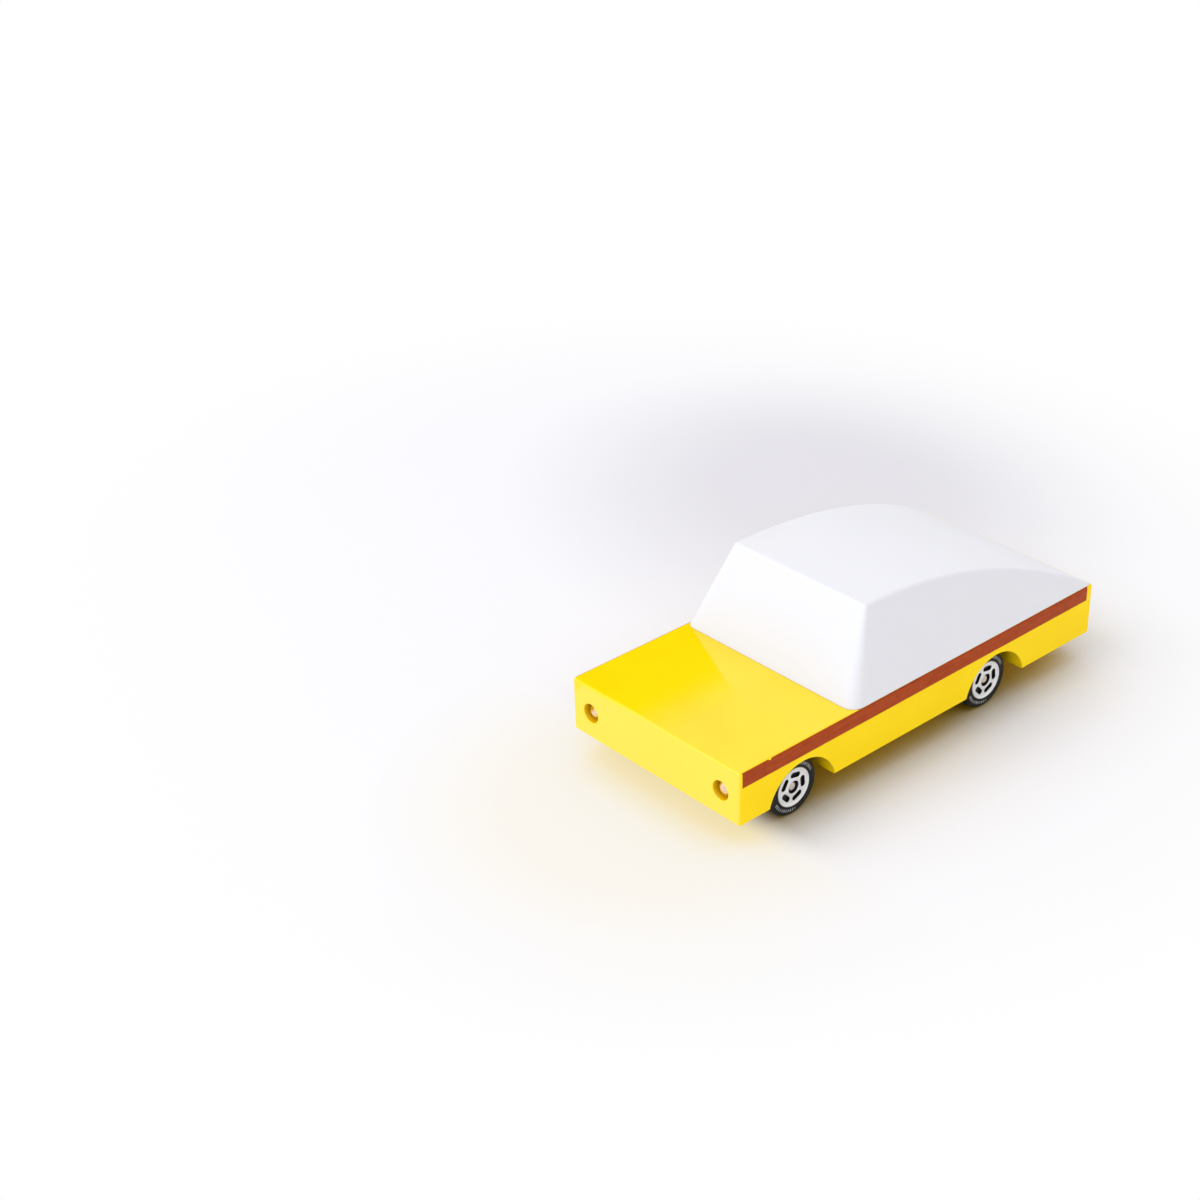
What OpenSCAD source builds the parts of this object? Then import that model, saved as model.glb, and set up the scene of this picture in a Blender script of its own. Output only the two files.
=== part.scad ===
// Small wooden push-along car: a lacquered block body with wheel wells, a fastback
// cabin block dowelled on top, a stripe along each side, stud headlights, and two
// wheelsets that turn in bearing carriers screwed to the underside.
// Millimetres. +X is the front, +Y the car's left, +Z up. The origin is on the ground
// under the middle of the car.

/* [Body block] */
// Length of the body block, front to back
body_l = 90; // [84:1:110]
// Width of the body block
body_w = 40.8; // [38:0.2:50]
// Height of the body block
body_h = 10.35; // [9.8:0.05:14]
// Radius along the top and bottom edges of the body block
edge_r = 0.5; // [0.3:0.1:1]
// Radius of the four upright corners of the body block
corner_r = 0.6; // [0.4:0.1:1.5]

/* [Cabin block] */
// Height of the cabin block above the body
cabin_h = 15.6; // [13:0.1:18]
// Length of the bonnet, from the front end to the foot of the windscreen
bonnet_l = 26.2; // [22:0.2:32]
// How far the windscreen leans back over its height
screen_run = 7.6; // [4:0.2:12]
// Radius of the edge where the windscreen turns into the roof
screen_top_r = 0.8; // [0.3:0.1:2]
// Distance from the top of the windscreen back to the crown of the roof arc
crown_back = 1.4; // [0.5:0.1:6]
// Bare strip of body behind the tail of the roof
tail_gap = 0.4; // [0.2:0.1:5]
// How far each side of the cabin leans in over its height
side_lean = 4.85; // [2:0.05:7]

/* [Dowels] */
// Diameter of the hidden dowels between body and cabin
dowel_d = 6; // [4:0.5:7]
// Length of each dowel
dowel_l = 12; // [8:0.5:13]
// Distance from the foot of the windscreen back to the front dowel
dowel_back = 10.8; // [8:0.2:16]
// Distance between the two dowels
dowel_pitch = 30; // [20:1:34]
// Glue space around a dowel
dowel_fit = 0.05; // [0.02:0.01:0.1]
// Glue space at each end of a dowel
dowel_end_gap = 0.3; // [0.1:0.1:1]

/* [Side stripes] */
// Height of the stripe on each side
stripe_h = 2.85; // [2:0.05:3.4]
// Thickness of the stripe film
stripe_t = 0.1; // [0.05:0.05:0.3]
// Distance from the front end of the body to the start of the stripe
stripe_front_gap = 0.6; // [0.6:0.1:3]
// Distance from the rear end of the body to the end of the stripe
stripe_rear_gap = 1.6; // [0.6:0.1:4]
// Distance from the top of the body down to the top of the stripe
stripe_drop = 0.1; // [0.05:0.05:0.4]

/* [Headlights] */
// Diameter of a headlight recess
lamp_d = 3.6; // [3.3:0.1:4.6]
// Depth of a headlight recess
lamp_depth = 1.4; // [1:0.1:2]
// Distance from the side of the body in to the middle of a headlight
lamp_inset = 4.5; // [3.5:0.1:8]
// Distance from the top of the body down to the middle of a headlight
lamp_drop = 5.3; // [4:0.1:7]
// Diameter of the stud's domed head
stud_d = 3; // [2:0.1:3.2]
// Height of the stud's domed head
stud_h = 1; // [0.6:0.1:1.3]
// Diameter of the stud's shank
shank_d = 1.2; // [0.8:0.1:1.5]
// Length of the stud's shank
shank_l = 4.5; // [3:0.1:5]

/* [Wheels] */
// Distance from the front end of the body to the front axle
front_overhang = 14.4; // [12:0.2:18]
// Distance between the two axles
wheelbase = 48.8; // [44:0.2:54]
// Outside diameter of a tyre
tyre_d = 10.9; // [9.8:0.1:12]
// Width of a tyre
tyre_w = 4.2; // [3.4:0.1:5]
// Radius of a tyre's shoulders
shoulder_r = 0.7; // [0.4:0.1:1.2]
// Diameter of the hub inside the tyre
hub_d = 7.4; // [6.8:0.1:8]
// Height of the rib inside the tyre that locks in the hub's groove
rib_h = 0.3; // [0.2:0.05:0.5]
// Width of that rib
rib_w = 1.2; // [0.8:0.1:1.8]
// Wall of the hub's rim outside the moulding relief
rim_wall = 1; // [0.8:0.1:1.2]
// Depth of the moulding relief in the back of the hub
relief_depth = 2; // [1:0.1:2.4]
// Diameter of the hub's boss
boss_d = 3.4; // [2.8:0.1:4]
// How far the boss stands inside the tyre
boss_l = 0.4; // [0.2:0.1:1]
// Distance from the body's side in to the hubcap's face
wheel_inset = 1.8; // [1:0.1:2.4]
// How far the hubcap stands proud of the tyre
cap_proud = 0.15; // [0.05:0.05:0.4]

/* [Hubcaps] */
// Thickness of a hubcap at its lip
cap_t = 0.8; // [0.6:0.1:1.1]
// Clearance between a hubcap's edge and the tyre
cap_fit = 0.04; // [0.02:0.01:0.1]
// Width of the raised lip round the edge and round the eye
lip_w = 0.4; // [0.3:0.05:0.6]
// Height of the raised lip
lip_h = 0.2; // [0.1:0.05:0.25]
// Diameter of the eye that shows the axle's end
eye_d = 2.4; // [1.9:0.1:2.6]
// Number of slots
slot_count = 5; // [4:1:6]
// Length of a slot
slot_l = 2.2; // [1.6:0.1:2.4]
// Width of a slot
slot_w = 0.95; // [0.6:0.05:1.05]
// Radius of the ring that the slots lie on
slot_ring_r = 2.25; // [2.15:0.05:2.5]
// Turn of the slots on the front left wheel
front_left_turn = 30; // [0:1:71]
// Turn of the slots on the front right wheel
front_right_turn = 12; // [0:1:71]
// Turn of the slots on the rear left wheel
rear_left_turn = 28; // [0:1:71]
// Turn of the slots on the rear right wheel
rear_right_turn = 40; // [0:1:71]

/* [Axles and wheel wells] */
// Diameter of an axle
axle_d = 1.5; // [1.2:0.1:1.8]
// Running clearance round an axle in its carrier
axle_fit = 0.05; // [0.03:0.01:0.08]
// Chamfer on the ends of an axle
axle_chamfer = 0.15; // [0.1:0.05:0.25]
// How far an axle's end lies behind the hubcap's face
axle_end_drop = 0.4; // [0.2:0.05:0.6]
// Height of the axles above the body's underside
axle_rise = 0.2; // [0:0.1:1]
// Side play between a hub's boss and the carrier
end_play = 0.3; // [0.2:0.05:0.5]
// Radius of the wheel arches
arch_r = 7.9; // [7:0.1:8.6]
// Distance from an axle back to the middle of its wheel arches
arch_back = 0.3; // [0:0.1:1]
// Gap between the top of a tyre and the wheel arch
arch_gap = 0.5; // [0.4:0.05:1]

/* [Axle carriers and screws] */
// Wall of the carrier round the axle
carrier_wall = 1; // [0.8:0.1:1.4]
// Glue space round the carrier's bar and plate in the body
carrier_fit = 0.05; // [0.02:0.01:0.1]
// How far the carrier's plate reaches out in front of and behind its bar
plate_reach = 4; // [3.6:0.1:5]
// How deep the plate is let into the underside
let_in = 0.3; // [0.1:0.05:0.6]
// Radius of the plate's corners
plate_corner_r = 1.5; // [0.5:0.1:2]
// Distance from a carrier's end in to a screw
screw_inset = 5.4; // [4:0.1:8]
// Diameter of a screw's shank
screw_d = 1.6; // [1.3:0.1:2]
// Length of a screw, head included
screw_l = 6; // [5:0.1:7]
// Diameter of a screw's countersunk head
screw_head_d = 3; // [2.6:0.1:3.4]
// Depth of a screw's countersunk head
screw_head_h = 0.8; // [0.6:0.05:1]
// Width of the cross slot in a screw's head
cross_w = 0.4; // [0.3:0.05:0.5]
// Length of each arm of the cross slot, end to end
cross_l = 1.8; // [1.4:0.1:2.2]
// Depth of the cross slot
cross_depth = 0.4; // [0.3:0.05:0.5]

/* [Hidden] */
$fn = 64;
// Length that a cutter runs past the face it opens
past = 1;

// Heights above the ground
tyre_r = tyre_d / 2;
axle_z = tyre_r;
underside_z = axle_z - axle_rise;
deck_z = underside_z + body_h;
arch_z = axle_z + tyre_r + arch_gap - arch_r;

// Places along the car
front_x = body_l / 2;
rear_x = -body_l / 2;
front_axle_x = front_x - front_overhang;
rear_axle_x = front_axle_x - wheelbase;
screen_foot_x = front_x - bonnet_l;
screen_top_x = screen_foot_x - screen_run;
crown_x = screen_top_x - crown_back;
tail_x = rear_x + tail_gap;

// The roof is one arc from its crown, at full height, down to the tail on the deck
roof_run = crown_x - tail_x;
roof_r = (roof_run * roof_run + cabin_h * cabin_h) / (2 * cabin_h);
// So wide an arc needs more facets than the small circles
roof_fn = 720;

// Places across the car, from the middle out to the car's side
side_y = body_w / 2;
cap_y = side_y - wheel_inset;
hub_out_y = cap_y - cap_t;
tyre_out_y = cap_y - cap_proud;
tyre_in_y = tyre_out_y - tyre_w;
boss_y = tyre_in_y - boss_l;
web_y = boss_y - end_play;
axle_end_y = cap_y - axle_end_drop;

// Radii that fit inside one another
axle_r = axle_d / 2;
bore_r = axle_r + axle_fit;
hub_r = hub_d / 2;
boss_r = boss_d / 2;
cap_r = hub_r - cap_fit;
eye_r = eye_d / 2;

// The carrier's bar rises into a slot in the body, and its plate lies in a shallow rebate
bar_w = 2 * (bore_r + carrier_wall);
bar_top_z = axle_z + bore_r + carrier_wall;
plate_z = axle_z - bore_r - carrier_wall;
plate_top_z = underside_z + let_in;
plate_l = bar_w + 2 * plate_reach;
screw_dx = (bar_w + plate_reach) / 2;
screw_y = web_y - screw_inset;

dowel_x = [screen_foot_x - dowel_back, screen_foot_x - dowel_back - dowel_pitch];
dowel_low_z = deck_z - dowel_l / 2;
lamp_y = side_y - lamp_inset;
lamp_z = deck_z - lamp_drop;

// Rectangle with round corners, from its lower left corner
module round_rect(w, h, r) {
    translate([r, 0]) square([w - 2 * r, h]);
    translate([0, r]) square([w, h - 2 * r]);
    for (x = [r, w - r], y = [r, h - r])
        translate([x, y]) circle(r);
}

// Turn a flat outline drawn in X and Z to stand across the car, from y0 to y1
module across(y0, y1) {
    translate([0, y1, 0]) rotate([90, 0, 0]) linear_extrude(y1 - y0) children();
}

// Turn a flat outline drawn in Y and Z to run along the car, from x0 to x1
module along(x0, x1) {
    translate([x0, 0, 0]) rotate([90, 0, 90]) linear_extrude(x1 - x0) children();
}

// Put a round piece, drawn about Z from the middle of the car outwards, on an axle
module on_axle(x, side) {
    translate([x, 0, axle_z]) rotate([-90 * side, 0, 0]) children();
}

// Body block: sawn blank with every edge eased, before any hole is cut
module body_blank() {
    intersection() {
        translate([rear_x, -side_y, underside_z - past])
            linear_extrude(body_h + 2 * past) round_rect(body_l, body_w, corner_r);
        along(rear_x - past, front_x + past)
            translate([-side_y, underside_z]) round_rect(body_w, body_h, edge_r);
        across(-side_y - past, side_y + past)
            translate([rear_x, underside_z]) round_rect(body_l, body_h, edge_r);
    }
}

// Wheel wells on one axle, one from each side of the body
module wheel_wells(x) {
    for (side = [-1, 1])
        translate([x - arch_back, 0, arch_z]) rotate([-90 * side, 0, 0])
            translate([0, 0, web_y]) cylinder(h = side_y - web_y + past, r = arch_r);
}

// Seat of a carrier, milled right across: a slot for its bar, a rebate for its plate, and
// the pilot holes of its screws
module carrier_seat(x) {
    cut_w = 2 * (web_y + past);
    low_z = underside_z - past;
    slot_l = bar_w + 2 * carrier_fit;
    rebate_l = plate_l + 2 * carrier_fit;
    translate([x - slot_l / 2, -cut_w / 2, low_z]) cube([slot_l, cut_w, bar_top_z + carrier_fit - low_z]);
    translate([x - rebate_l / 2, -cut_w / 2, low_z]) cube([rebate_l, cut_w, plate_top_z - low_z]);
    for (turn = [-1, 1])
        translate([x + turn * screw_dx, turn * screw_y, plate_z])
            cylinder(h = screw_l, d = screw_d);
}

// Recess and pilot hole of one headlight
module lamp_hole(side) {
    translate([front_x, side * lamp_y, lamp_z]) rotate([0, -90, 0]) {
        translate([0, 0, -past]) cylinder(h = lamp_depth + past, d = lamp_d);
        cylinder(h = lamp_depth + shank_l, d = shank_d);
    }
}

// Blind holes for both dowels, in the body and the cabin alike
module dowel_holes() {
    for (x = dowel_x)
        translate([x, 0, dowel_low_z - dowel_end_gap])
            cylinder(h = dowel_l + 2 * dowel_end_gap, r = dowel_d / 2 + dowel_fit);
}

module body_block() {
    color("#f7d90f") difference() {
        body_blank();
        wheel_wells(front_axle_x);
        wheel_wells(rear_axle_x);
        carrier_seat(front_axle_x);
        carrier_seat(rear_axle_x);
        lamp_hole(1);
        lamp_hole(-1);
        dowel_holes();
    }
}

// Side view of the cabin. The windscreen's line and the roof's arc meet in a small
// arc that touches both: its middle lies screen_top_r inside each of them.
module cabin_profile() {
    crown_z = deck_z + cabin_h;
    centre_z = crown_z - roof_r;
    screen_len = norm([screen_run, cabin_h]);
    // A point screen_top_r behind the windscreen's foot, and the way up the windscreen
    foot = [
        screen_foot_x - screen_top_r * cabin_h / screen_len,
        deck_z - screen_top_r * screen_run / screen_len
    ];
    up = [-screen_run / screen_len, cabin_h / screen_len];
    // Walk up that line to where it is screen_top_r inside the roof's arc
    rel = foot - [crown_x, centre_z];
    half = rel * up;
    walk = -half + sqrt(half * half - rel * rel + pow(roof_r - screen_top_r, 2));
    turn = foot + walk * up;
    on_screen = turn + screen_top_r * [cabin_h, screen_run] / screen_len;
    roof_way = (turn - [crown_x, centre_z]) / (roof_r - screen_top_r);
    on_roof = turn + screen_top_r * roof_way;
    intersection() {
        translate([crown_x, centre_z]) circle(roof_r, $fn = roof_fn);
        polygon([
            [tail_x, deck_z], [screen_foot_x, deck_z], on_screen, turn, on_roof,
            [on_roof[0], crown_z + past], [tail_x, crown_z + past]
        ]);
    }
    translate(turn) intersection() {
        circle(screen_top_r);
        polygon([[0, 0], on_screen - turn, on_screen - turn + screen_top_r * up, on_roof - turn]);
    }
}

module cabin_block() {
    reach = past / cabin_h * side_lean;
    color("#f4f4f2") difference() {
        intersection() {
            across(-side_y - past, side_y + past) cabin_profile();
            along(rear_x, front_x) polygon([
                [-side_y, deck_z], [side_y, deck_z],
                [side_y - side_lean - reach, deck_z + cabin_h + past],
                [-side_y + side_lean + reach, deck_z + cabin_h + past]
            ]);
        }
        dowel_holes();
    }
}

module cabin_dowels() {
    color("burlywood") for (x = dowel_x)
        translate([x, 0, dowel_low_z]) cylinder(h = dowel_l, d = dowel_d);
}

// Stripe film: it follows the body's side and turns over its rounded top edge
module stripe(side) {
    top_z = deck_z - stripe_drop;
    color("#a2421f") along(rear_x + stripe_rear_gap, front_x - stripe_front_gap)
        intersection() {
            difference() {
                translate([-side_y - stripe_t, underside_z - stripe_t])
                    round_rect(body_w + 2 * stripe_t, body_h + 2 * stripe_t, edge_r + stripe_t);
                translate([-side_y, underside_z]) round_rect(body_w, body_h, edge_r);
            }
            translate([side > 0 ? 0 : -body_w, top_z - stripe_h]) square([body_w, stripe_h]);
        }
}

module left_stripe() {
    stripe(1);
}

module right_stripe() {
    stripe(-1);
}

// Headlight stud: a domed head seated on the floor of its recess, and a plain shank
module headlight(side) {
    dome_r = (stud_d * stud_d / 4 + stud_h * stud_h) / (2 * stud_h);
    color("#c08a4a") translate([front_x - lamp_depth, side * lamp_y, lamp_z]) rotate([0, 90, 0]) {
        rotate_extrude() intersection() {
            translate([0, stud_h - dome_r]) circle(dome_r);
            square([stud_d, stud_h]);
        }
        translate([0, 0, -shank_l]) cylinder(h = shank_l, d = shank_d);
    }
}

module left_headlight() {
    headlight(1);
}

module right_headlight() {
    headlight(-1);
}

// Axle carrier: a plate let into the underside, and a bar above it, bored for the axle
module axle_carrier(x) {
    color("#2b2b2e") difference() {
        union() {
            translate([x - plate_l / 2, -web_y, plate_z])
                linear_extrude(plate_top_z - plate_z) round_rect(plate_l, 2 * web_y, plate_corner_r);
            translate([x - bar_w / 2, -web_y, plate_z]) cube([bar_w, 2 * web_y, bar_top_z - plate_z]);
        }
        translate([x, -web_y - past, axle_z]) rotate([-90, 0, 0])
            cylinder(h = 2 * (web_y + past), r = bore_r);
        for (turn = [-1, 1])
            translate([x + turn * screw_dx, turn * screw_y, plate_z]) screw_form();
    }
}

module front_axle_carrier() {
    axle_carrier(front_axle_x);
}

module rear_axle_carrier() {
    axle_carrier(rear_axle_x);
}

// Outside of a countersunk screw, head down at z = 0
module screw_form() {
    cylinder(h = screw_head_h, d1 = screw_head_d, d2 = screw_d);
    cylinder(h = screw_l, d = screw_d);
}

module carrier_screws() {
    color("silver") for (x = [front_axle_x, rear_axle_x], turn = [-1, 1])
        translate([x + turn * screw_dx, turn * screw_y, plate_z]) difference() {
            screw_form();
            for (angle = [0, 90])
                rotate([0, 0, angle]) translate([-cross_l / 2, -cross_w / 2, -past])
                    cube([cross_l, cross_w, cross_depth + past]);
        }
}

// Steel axle with chamfered ends
module axle(x) {
    color("#b9b2a6") on_axle(x, 1) rotate_extrude() polygon([
        [0, -axle_end_y], [axle_r - axle_chamfer, -axle_end_y],
        [axle_r, -axle_end_y + axle_chamfer], [axle_r, axle_end_y - axle_chamfer],
        [axle_r - axle_chamfer, axle_end_y], [0, axle_end_y]
    ]);
}

module front_axle() {
    axle(front_axle_x);
}

module rear_axle() {
    axle(rear_axle_x);
}

// Tyre: round shoulders outside, and a rib inside that sits in the hub's groove
module tyre(x, side) {
    middle_y = (tyre_in_y + tyre_out_y) / 2;
    color("#1c1c1e") on_axle(x, side) rotate_extrude() {
        translate([hub_r, tyre_in_y]) square([tyre_r - shoulder_r - hub_r, tyre_w]);
        translate([hub_r, tyre_in_y + shoulder_r])
            square([tyre_r - hub_r, tyre_w - 2 * shoulder_r]);
        for (y = [tyre_in_y + shoulder_r, tyre_out_y - shoulder_r])
            translate([tyre_r - shoulder_r, y]) circle(shoulder_r);
        translate([hub_r - rib_h, middle_y - rib_w / 2]) square([2 * rib_h, rib_w]);
    }
}

module front_left_tyre() {
    tyre(front_axle_x, 1);
}

module front_right_tyre() {
    tyre(front_axle_x, -1);
}

module rear_left_tyre() {
    tyre(rear_axle_x, 1);
}

module rear_right_tyre() {
    tyre(rear_axle_x, -1);
}

// Hub: pressed on the axle, with a groove for the tyre's rib, a relief in its back and
// a boss that runs against the carrier
module hub(x, side) {
    middle_y = (tyre_in_y + tyre_out_y) / 2;
    color("#202024") on_axle(x, side) rotate_extrude() difference() {
        union() {
            translate([axle_r, tyre_in_y]) square([hub_r - axle_r, hub_out_y - tyre_in_y]);
            translate([axle_r, boss_y]) square([boss_r - axle_r, hub_out_y - boss_y]);
        }
        translate([hub_r - rib_h, middle_y - rib_w / 2]) square([rib_h + past, rib_w]);
        translate([boss_r, tyre_in_y - past])
            square([hub_r - rim_wall - boss_r, relief_depth + past]);
    }
}

module front_left_hub() {
    hub(front_axle_x, 1);
}

module front_right_hub() {
    hub(front_axle_x, -1);
}

module rear_left_hub() {
    hub(rear_axle_x, 1);
}

module rear_right_hub() {
    hub(rear_axle_x, -1);
}

// Hubcap: a slotted disc with a raised round lip at its edge and round its eye
module hubcap(x, side, turn) {
    plate_t = cap_t - lip_h;
    color("#d9dadd") on_axle(x, side) difference() {
        rotate_extrude() translate([0, hub_out_y]) {
            translate([eye_r, 0]) square([cap_r - eye_r, plate_t]);
            for (r = [eye_r, cap_r - lip_w]) {
                translate([r, 0]) square([lip_w, cap_t - lip_w / 2]);
                translate([r + lip_w / 2, cap_t - lip_w / 2]) circle(lip_w / 2);
            }
        }
        for (i = [0 : slot_count - 1])
            rotate([0, 0, -side * turn + i * 360 / slot_count])
                translate([slot_ring_r, 0, hub_out_y - past]) linear_extrude(cap_t + 2 * past)
                    slot_outline();
    }
}

// A slot with round ends, its length across the wheel's radius
module slot_outline() {
    straight = slot_l - slot_w;
    translate([-slot_w / 2, -straight / 2]) square([slot_w, straight]);
    for (end = [-1, 1])
        translate([0, end * straight / 2]) circle(slot_w / 2);
}

module front_left_hubcap() {
    hubcap(front_axle_x, 1, front_left_turn);
}

module front_right_hubcap() {
    hubcap(front_axle_x, -1, front_right_turn);
}

module rear_left_hubcap() {
    hubcap(rear_axle_x, 1, rear_left_turn);
}

module rear_right_hubcap() {
    hubcap(rear_axle_x, -1, rear_right_turn);
}

body_block();
cabin_block();
cabin_dowels();
left_stripe();
right_stripe();
left_headlight();
right_headlight();
front_axle_carrier();
rear_axle_carrier();
carrier_screws();
front_axle();
rear_axle();
front_left_tyre();
front_right_tyre();
rear_left_tyre();
rear_right_tyre();
front_left_hub();
front_right_hub();
rear_left_hub();
rear_right_hub();
front_left_hubcap();
front_right_hubcap();
rear_left_hubcap();
rear_right_hubcap();
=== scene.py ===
import math

import bmesh
import bpy
from mathutils import Matrix, Vector


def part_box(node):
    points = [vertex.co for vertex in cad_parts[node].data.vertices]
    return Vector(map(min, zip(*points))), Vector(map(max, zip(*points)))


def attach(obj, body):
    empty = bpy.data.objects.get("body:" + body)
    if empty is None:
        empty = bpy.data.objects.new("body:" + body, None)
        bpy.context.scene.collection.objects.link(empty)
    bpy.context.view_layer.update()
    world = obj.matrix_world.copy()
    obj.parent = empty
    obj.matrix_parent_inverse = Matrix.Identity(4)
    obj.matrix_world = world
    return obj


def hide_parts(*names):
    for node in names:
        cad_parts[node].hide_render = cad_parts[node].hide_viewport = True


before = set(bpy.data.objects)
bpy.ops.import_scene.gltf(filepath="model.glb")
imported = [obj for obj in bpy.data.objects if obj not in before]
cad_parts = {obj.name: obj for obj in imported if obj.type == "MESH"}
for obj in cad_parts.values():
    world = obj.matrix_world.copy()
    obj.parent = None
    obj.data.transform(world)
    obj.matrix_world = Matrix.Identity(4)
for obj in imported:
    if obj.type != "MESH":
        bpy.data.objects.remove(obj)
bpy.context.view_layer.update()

# Body block. A sawn block of beech with its edges sanded round, its wheel wells and headlight
# recesses cut with round tools and its underside milled for the axle carriers, then sprayed
# with coats of glossy yellow lacquer that level out to a faint orange peel.
mm = 0.001
body_low, body_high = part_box("body_block")
carrier_boxes = {end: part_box(end + "_axle_carrier") for end in ("front", "rear")}
lamp_boxes = {side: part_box(side + "_headlight") for side in ("left", "right")}
dowel_low, dowel_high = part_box("cabin_dowels")
tyre_low, tyre_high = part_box("front_left_tyre")
side_y = body_high.y
web_y = carrier_boxes["front"][1].y
edge_r = 0.5 * mm
edge_steps = 5
arch_r = 7.9 * mm
arch_back = 0.3 * mm
arch_gap = 0.5 * mm
arch_lip = 0.25 * mm
lamp_r = 1.8 * mm
lamp_depth = 1.4 * mm
lamp_lip = 0.15 * mm
bar_l = 3.6 * mm
plate_let_in = 0.3 * mm
glue_gap = 0.05 * mm
dowel_r = 3 * mm
dowel_spare = 0.3 * mm
past = 1 * mm
# How far the painted shade in hollows looks for nearby surfaces
hollow_reach = 6 * mm
flank_coat = 0.3
# Forward of this, the headlight recesses take a lighter painted shade than the wheel wells
recess_back = body_high.x - lamp_depth - past
# Tones of the yellow lacquer. The deeper tone is painted on the tops, as painted light, and in random
# clouds; the paler front tone is painted light on the front; the two hollow tones are painted shade,
# the lighter one in the headlight recesses.
yellow_tones = {
    "base_tone": (0.99, 0.705, 0.003, 1),
    "clouds_and_top_tone": (0.94, 0.62, 0.001, 1),
    "front": (0.97, 0.695, 0.05, 1),
    "hollow_shade": (0.28, 0.17, 0.001, 1),
    "front hollow": (0.62, 0.37, 0.003, 1),
}


def lathe(profile, place, steps=96, ring=False):
    """Closed mesh of a profile of (radius, height) points turned round Z, then put in its place.
    The profile of a ring closes on itself, and any other starts and ends on the axis."""
    bm = bmesh.new()
    turns = [2 * math.pi * k / steps for k in range(steps)]
    rings = []
    for radius, height in profile:
        spots = turns if radius else [0]
        points = [Vector((radius * math.cos(a), radius * math.sin(a), height)) for a in spots]
        rings.append([bm.verts.new(place @ point) for point in points])
    followers = rings[1:] + rings[:1] if ring else rings[1:]
    for low, high in zip(rings, followers):
        for k in range(steps):
            n = (k + 1) % steps
            corners = [low[k % len(low)], low[n % len(low)], high[n % len(high)], high[k % len(high)]]
            bm.faces.new(list(dict.fromkeys(corners)))
    bmesh.ops.recalc_face_normals(bm, faces=bm.faces)
    return bm


def block(low, high, radius=0.0):
    """Closed mesh of a box between two corners, its edges rounded where a radius is given."""
    bm = bmesh.new()
    bmesh.ops.create_cube(bm, size=1)
    size = Vector(high) - Vector(low)
    middle = (Vector(high) + Vector(low)) / 2
    place = Matrix.Translation(middle) @ Matrix.Diagonal(size).to_4x4()
    bmesh.ops.transform(bm, matrix=place, verts=bm.verts)
    if radius:
        rounding = {"offset": radius, "segments": edge_steps, "profile": 0.5}
        bmesh.ops.bevel(bm, geom=bm.edges[:], affect="EDGES", **rounding)
    return bm


def arc(middle, radius, start, end, steps):
    """Points on an arc from one angle to another, in degrees, both ends included."""
    angles = [math.radians(start + (end - start) * k / steps) for k in range(steps + 1)]
    return [(middle[0] + radius * math.cos(a), middle[1] + radius * math.sin(a)) for a in angles]


def carve(bm, cutters):
    """The mesh with every cutter taken out of it."""
    helpers = []
    for shape in [bm] + cutters:
        mesh = bpy.data.meshes.new("blank")
        shape.to_mesh(mesh)
        shape.free()
        helper = bpy.data.objects.new("blank", mesh)
        bpy.context.scene.collection.objects.link(helper)
        helpers.append(helper)
    for cutter in helpers[1:]:
        cut = helpers[0].modifiers.new("cut", "BOOLEAN")
        cut.operation = "DIFFERENCE"
        cut.solver = "EXACT"
        cut.object = cutter
    carved = bmesh.new()
    carved.from_object(helpers[0], bpy.context.evaluated_depsgraph_get())
    # A helper's object goes away with its mesh
    for helper in helpers:
        bpy.data.meshes.remove(helper.data)
    return carved


def skin(name, bm, material):
    """Finished surface of a mesh: smooth, but sharp at its steep edges."""
    crease = math.radians(35)
    mesh = bpy.data.meshes.new(name)
    bm.to_mesh(mesh)
    bm.free()
    mesh.materials.append(material)
    mesh.shade_smooth()
    mesh.set_sharp_from_angle(angle=crease)
    return mesh


def show(name, mesh):
    """Puts a finished surface in the scene, shaded evenly over its flat faces."""
    obj = bpy.data.objects.new(name, mesh)
    bpy.context.scene.collection.objects.link(obj)
    even = obj.modifiers.new("even", "WEIGHTED_NORMAL")
    even.keep_sharp = True
    return obj


def piece(name, bm, material):
    """A piece of its own from a mesh."""
    return show(name, skin(name, bm, material))


class Value:
    """A socket that a node gives. Arithmetic on it adds Math nodes."""

    def __init__(self, nodes, socket):
        self.nodes = nodes
        self.socket = socket

    def __add__(self, other):
        return self.nodes.math("ADD", self, other)

    def __sub__(self, other):
        return self.nodes.math("SUBTRACT", self, other)

    def __rsub__(self, other):
        return self.nodes.math("SUBTRACT", other, self)

    def __mul__(self, other):
        return self.nodes.math("MULTIPLY", self, other)

    def __truediv__(self, other):
        return self.nodes.math("DIVIDE", self, other)

    def __rtruediv__(self, other):
        return self.nodes.math("DIVIDE", other, self)

    def __gt__(self, other):
        return self.nodes.math("GREATER_THAN", self, other)

    def __lt__(self, other):
        return self.nodes.math("LESS_THAN", self, other)

    __radd__ = __add__
    __rmul__ = __mul__


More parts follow.
